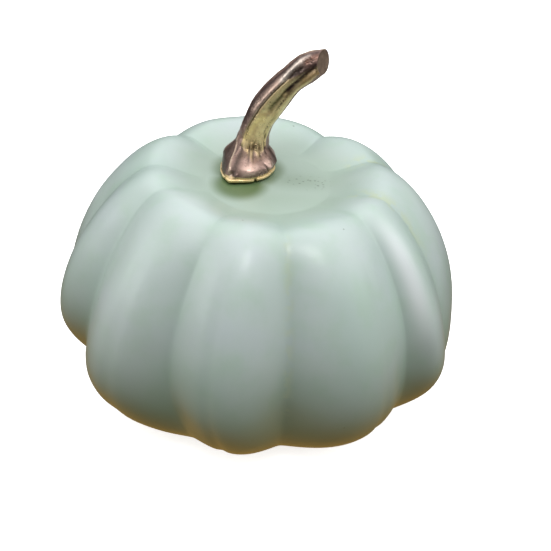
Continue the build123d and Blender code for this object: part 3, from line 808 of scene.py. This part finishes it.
def glaze_material():
    """Pale celadon glaze, greener where it pools, with pinholes, a bare foot, and painted light, shade and
    brown reflection.
    """
    look = Look("celadon_glaze")
    clouds = look.noise(38.0, 2.0)
    mottle = look.noise(9.0, 4.0)
    colour = look.mix(look.ramp(clouds, 0.35, 0.65), rgb(184, 203, 197), rgb(193, 207, 205))
    greener = look.math("MULTIPLY", look.ramp(mottle, 0.4, 0.75), 0.55)
    colour = look.mix(greener, colour, rgb(176, 201, 185))
    blush = look.ramp(look.noise(17.0, 3.0), 0.50, 0.72)
    colour = look.mix(look.math("MULTIPLY", blush, 0.35), colour, rgb(194, 204, 211))
    # painted light and highlights on single lobes
    colour = look.mix(look.painted("painted_light"), colour, rgb(232, 240, 242))
    # painted shade in the well
    colour = look.mix(look.math("MULTIPLY", look.painted("well"), 0.8), colour, rgb(166, 184, 171))
    # painted shade low on the belly
    colour = look.mix(look.painted("low"), colour, rgb(118, 141, 121))
    # painted brown reflection near the foot
    colour = look.mix(look.painted("edge"), colour, rgb(150, 146, 120))
    colour = look.mix(look.math("MULTIPLY", look.painted("pool"), 0.12), colour, rgb(160, 190, 172))
    colour = look.mix(look.math("MULTIPLY", look.painted("groove"), 0.10), colour, rgb(128, 160, 138))
    tint = look.math("MULTIPLY", look.painted("tint"), look.ramp(look.noise(3.5, 3.0), 0.42, 0.62))
    colour = look.mix(look.math("MULTIPLY", tint, 0.6), colour, rgb(190, 202, 166))
    # painted shadow of the stalk, dark green
    colour = look.mix(look.math("MULTIPLY", look.painted("stalk_shadow"), 0.92), colour, rgb(84, 108, 62))
    spot, picked = look.cells(5.0, 0.035)
    pinhole = look.math("MULTIPLY", look.ramp(spot, 0.10, 0.05), picked)
    near_spot, near_picked = look.cells(1.3, 0.6)
    cluster = look.math("MULTIPLY", look.ramp(near_spot, 0.38, 0.20), near_picked)
    cluster = look.math("MULTIPLY", cluster, look.painted("pinholes"))
    pinhole = look.math("MAXIMUM", pinhole, cluster)
    pinhole = look.math("MULTIPLY", pinhole, look.math("SUBTRACT", 1.0, look.painted("bare")))
    colour = look.mix(look.math("MULTIPLY", pinhole, 0.55), colour, rgb(92, 104, 92))
    bisque = look.mix(look.noise(1.2, 4.0), rgb(214, 200, 178), rgb(190, 172, 148))
    colour = look.mix(look.painted("bare"), colour, bisque)
    rough = look.ramp(look.noise(14.0, 3.0), 0.3, 0.7, 0.32, 0.42)
    rough = look.math("MAXIMUM", rough, look.math("MULTIPLY", look.painted("bare"), 0.85))
    look.set(Base_Color=colour, Roughness=rough, Coat_Weight=0.3, Coat_Roughness=0.22, Coat_IOR=1.45)
    look.bump(look.noise(0.9, 2.0), 0.012)
    look.bump(look.noise(6.0, 2.0), 0.05)
    look.bump(look.math("SUBTRACT", 1.0, pinhole), 0.06)
    return look.material


def gold_material():
    """Plated casting: yellow gold on the faces, rose bronze on the butt, dark patina in the hollows."""
    look = Look("antique_gold")
    streaks = look.noise(2.2, 5.0, stretch=(1, 1, 4))
    fine = look.noise(0.55, 3.0)
    rose = look.mix(look.ramp(streaks, 0.35, 0.7), rgb(176, 146, 136), rgb(138, 110, 101))
    gold = look.mix(look.ramp(streaks, 0.35, 0.7), rgb(255, 228, 174), rgb(234, 204, 148))
    colour = look.mix(look.painted("gold"), rose, gold)
    strokes = look.tree.nodes.new("ShaderNodeAttribute")
    strokes.attribute_name = "strokes"
    worn = look.ramp(look.noise(1.0, 4.0), 0.25, 0.5, 0.7, 1.0)
    laid = look.math("MULTIPLY", strokes.outputs["Alpha"], worn)
    # the strokes hold painted highlights and dark reflections as well as colour
    colour = look.mix(laid, colour, strokes.outputs["Color"])
    patina = look.mix(look.ramp(fine, 0.3, 0.7), rgb(84, 66, 58), rgb(52, 42, 38))
    grime = look.math("MULTIPLY", look.ramp(look.noise(1.1, 4.0), 0.50, 0.66), 0.40)
    grime = look.math("MULTIPLY", grime, look.ramp(look.painted("gold"), 0.0, 1.0, 1.0, 0.35))
    dark = look.math("MAXIMUM", look.painted("dark"), grime)
    pitted = look.math("MULTIPLY", look.painted("pits"), look.ramp(fine, 0.42, 0.56, 0.0, 0.75))
    dark = look.math("MAXIMUM", dark, pitted)
    colour = look.mix(dark, colour, patina)
    colour = look.mix(look.painted("flash"), colour, rgb(176, 156, 136))
    torn = look.mix(look.noise(1.4, 4.0), rgb(164, 142, 124), rgb(92, 74, 64))
    colour = look.mix(look.painted("cut"), colour, torn)
    rough = look.ramp(look.noise(1.6, 4.0), 0.3, 0.7, 0.26, 0.44)
    rough = look.math("MAXIMUM", rough, look.math("MULTIPLY", look.painted("dark"), 0.5))
    rough = look.math("MAXIMUM", rough, look.math("MULTIPLY", look.painted("cut"), 0.6))
    look.set(Base_Color=colour, Roughness=rough, Metallic=0.5)
    look.bump(fine, 0.05)
    look.bump(look.noise(0.25, 2.0), 0.012)
    return look.material


def steel_material():
    """Zinc-plated steel with a faint yellow pass and fine turning marks."""
    look = Look("zinc_steel")
    cloudy = look.noise(3.0, 3.0)
    colour = look.mix(cloudy, rgb(196, 198, 198), rgb(208, 200, 176))
    rough = look.ramp(look.noise(0.8, 3.0), 0.3, 0.7, 0.22, 0.40)
    look.set(Base_Color=colour, Roughness=rough, Metallic=1.0)
    look.bump(look.noise(0.3, 2.0, stretch=(6, 6, 0.5)), 0.02)
    return look.material


def rubber_material():
    """Matt black rubber with a bloom."""
    look = Look("black_rubber")
    colour = look.mix(look.ramp(look.noise(2.5, 4.0), 0.4, 0.7), rgb(38, 38, 38), rgb(62, 60, 58))
    look.set(Base_Color=colour, Roughness=look.ramp(look.noise(1.0, 3.0), 0.3, 0.7, 0.62, 0.82))
    look.bump(look.noise(0.4, 2.0), 0.03)
    return look.material


def silicone_material():
    """Soft milky silicone."""
    look = Look("silicone")
    colour = look.mix(look.noise(6.0, 3.0), rgb(206, 204, 198), rgb(222, 221, 216))
    look.set(Base_Color=colour, Roughness=look.ramp(look.noise(2.0, 3.0), 0.3, 0.7, 0.42, 0.58),
             Subsurface_Weight=0.25, Subsurface_Scale=0.002)
    look.bump(look.noise(0.8, 2.0), 0.02)
    return look.material


def felt_material():
    """Pressed wool felt: mixed fibres, dull and slightly hairy."""
    look = Look("felt")
    fibres = look.noise(0.35, 5.0, stretch=(3, 1, 1))
    colour = look.mix(look.ramp(fibres, 0.35, 0.65), rgb(92, 84, 76), rgb(138, 128, 116))
    look.set(Base_Color=colour, Roughness=look.ramp(fibres, 0.3, 0.7, 0.88, 0.98), Sheen_Weight=0.4)
    look.bump(fibres, 0.15)
    return look.material


def dress_frame_nodes():
    """Gives the pieces that stay as they are in CAD a finished material of the same slot."""
    looks = {"zinc_steel": steel_material(), "black_rubber": rubber_material(),
             "silicone": silicone_material(), "felt": felt_material()}
    for part in frame["record"]["subparts"]:
        look = looks.get(part["material_slot"])
        if look is None:
            continue
        for holder in frame["nodes"][part["node"]].material_slots:
            holder.material = look


# ------------------------------------------------ stage
# The light from all round, as soft patches: direction, where it starts and is full (as the cosine of
# the angle from that direction), colour
SKY = [
    ((0, 0, -1), 0.30, 1.00, (0.55, 0.32, 0.08)),
    ((0, 0, 1), 0.30, 0.95, (0.54, 0.54, 0.53)),
    ((0, 0, 1), 0.50, 1.00, (0.56, 0.56, 0.55)),
    ((0, 0, 1), 0.75, 1.00, (0.40, 0.41, 0.41)),
    ((0.6, 0, 0.8), 0.70, 0.95, (0.39, 0.39, 0.38)),
    ((-0.6, 0, 0.8), 0.70, 0.95, (0.50, 0.50, 0.49)),
    ((0, 0.6, 0.8), 0.70, 0.95, (0.40, 0.40, 0.42)),
    ((1, 0, 0.3), 0.60, 0.95, (0.29, 0.28, 0.27)),
    ((-1, 0, 0.3), 0.60, 0.95, (0.33, 0.33, 0.32)),
    ((1, 0, -0.2), 0.60, 0.95, (0.09, 0.09, 0.07)),
    ((-1, 0, -0.2), 0.60, 0.95, (0.16, 0.16, 0.14)),
]
# Name, place and size in metres, watts, colour, and whether it lights the figure or only shows in its gloss
LAMPS = [
    ("front", (0.0, -0.45, 1.08), (0.30, 0.26), 2.2, (1.00, 1.00, 1.00), True),
    ("right", (0.92, 0.05, 0.76), (0.9, 0.9), 1.8, (0.93, 1.00, 0.98), True),
    ("left card", (-0.82, -0.20, 0.42), (0.5, 0.5), 1.2, (0.93, 1.00, 0.97), False),
]
LAMP_AIM = (0, 0, 0.05)

# The camera looks at a point on the body's axis
CAMERA_LENS = 39.9
CAMERA_SHIFT = (0.0256, 0.0185)
CAMERA_ELEVATION = 38.9                 # degrees
CAMERA_DISTANCE = 3.136 * BODY_RADIUS
CAMERA_TARGET_Z = FOOT_Z + 0.33 * BODY_RADIUS
CAMERA_ROLL = 0.067                     # radians


def build_camera():
    """The photograph's view: from the front and above, level to within a few degrees."""
    data = bpy.data.cameras.new("camera")
    data.sensor_width = 36.0
    data.lens = CAMERA_LENS
    data.shift_x, data.shift_y = CAMERA_SHIFT
    camera = bpy.data.objects.new("camera", data)
    bpy.context.scene.collection.objects.link(camera)
    elevation = math.radians(CAMERA_ELEVATION)
    target = Vector((AXIS_X, AXIS_Y, CAMERA_TARGET_Z))
    away = Vector((0, -math.cos(elevation), math.sin(elevation)))
    camera.location = (target + away * CAMERA_DISTANCE) * MM
    turn = (-away).to_track_quat("-Z", "Y").to_matrix().to_4x4()
    roll = Matrix.Rotation(CAMERA_ROLL, 4, "Z")
    camera.matrix_world = Matrix.Translation(camera.location) @ turn @ roll
    data.clip_start = 0.01
    data.clip_end = 20
    bpy.context.scene.camera = camera


def area_light(name, place, size, power, colour, lights_figure):
    """A soft light in metres and watts, turned towards the figure."""
    data = bpy.data.lights.new(name, "AREA")
    data.shape = "RECTANGLE"
    data.size, data.size_y = size
    data.energy = power
    data.color = colour
    light = bpy.data.objects.new(name, data)
    bpy.context.scene.collection.objects.link(light)
    light.location = place
    light.rotation_euler = (Vector(LAMP_AIM) - Vector(place)).to_track_quat("-Z", "Y").to_euler()
    light.visible_diffuse = lights_figure


def build_world():
    """The soft light from all round, added up patch by patch. The camera itself sees plain white."""
    world = bpy.data.worlds.new("studio")
    bpy.context.scene.world = world
    world.use_nodes = True
    nodes, links = world.node_tree.nodes, world.node_tree.links
    nodes.clear()
    place = nodes.new("ShaderNodeTexCoord")
    total = None
    for direction, start, full, colour in SKY:
        towards = nodes.new("ShaderNodeVectorMath")
        towards.operation = "DOT_PRODUCT"
        towards.inputs[1].default_value = Vector(direction).normalized()
        links.new(place.outputs["Generated"], towards.inputs[0])
        patch = nodes.new("ShaderNodeMapRange")
        patch.interpolation_type = "SMOOTHSTEP"
        patch.inputs["From Min"].default_value = start
        patch.inputs["From Max"].default_value = full
        links.new(towards.outputs["Value"], patch.inputs["Value"])
        light = nodes.new("ShaderNodeBackground")
        light.inputs["Color"].default_value = (*colour, 1)
        links.new(patch.outputs["Result"], light.inputs["Strength"])
        if total is None:
            total = light.outputs[0]
        else:
            both = nodes.new("ShaderNodeAddShader")
            links.new(total, both.inputs[0])
            links.new(light.outputs[0], both.inputs[1])
            total = both.outputs[0]
    shown = nodes.new("ShaderNodeBackground")
    shown.inputs["Color"].default_value = (1, 1, 1, 1)
    ray = nodes.new("ShaderNodeLightPath")
    mix = nodes.new("ShaderNodeMixShader")
    out = nodes.new("ShaderNodeOutputWorld")
    links.new(ray.outputs["Is Camera Ray"], mix.inputs["Fac"])
    links.new(total, mix.inputs[1])
    links.new(shown.outputs[0], mix.inputs[2])
    links.new(mix.outputs[0], out.inputs["Surface"])


def build_floor():
    """Plain pale floor. Only the camera sees it, so the figure's underside keeps the brown light."""
    reach = 6.0
    mesh = bpy.data.meshes.new("floor")
    corners = [(-reach, -reach, 0), (reach, -reach, 0), (reach, reach, 0), (-reach, reach, 0)]
    mesh.from_pydata(corners, [], [(0, 1, 2, 3)])
    floor = bpy.data.objects.new("floor", mesh)
    bpy.context.scene.collection.objects.link(floor)
    look = Look("floor")
    look.set(Base_Color=look.mix(look.noise(300.0), (0.97, 0.97, 0.97, 1), (1, 1, 1, 1)), Roughness=0.9,
             Emission_Color=(1, 1, 1, 1), Emission_Strength=0.75)
    mesh.materials.append(look.material)
    floor.visible_diffuse = False
    floor.visible_glossy = False


body = build_body()
body.data.materials.append(glaze_material())
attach(body, "root")
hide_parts("body_shell")

stalk = build_stalk()
stalk.data.materials.append(gold_material())
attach(stalk, "root")
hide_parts("stem")

dress_frame_nodes()

build_camera()
bpy.context.scene.view_settings.view_transform = "Standard"
build_world()
build_floor()
for lamp in LAMPS:
    area_light(*lamp)
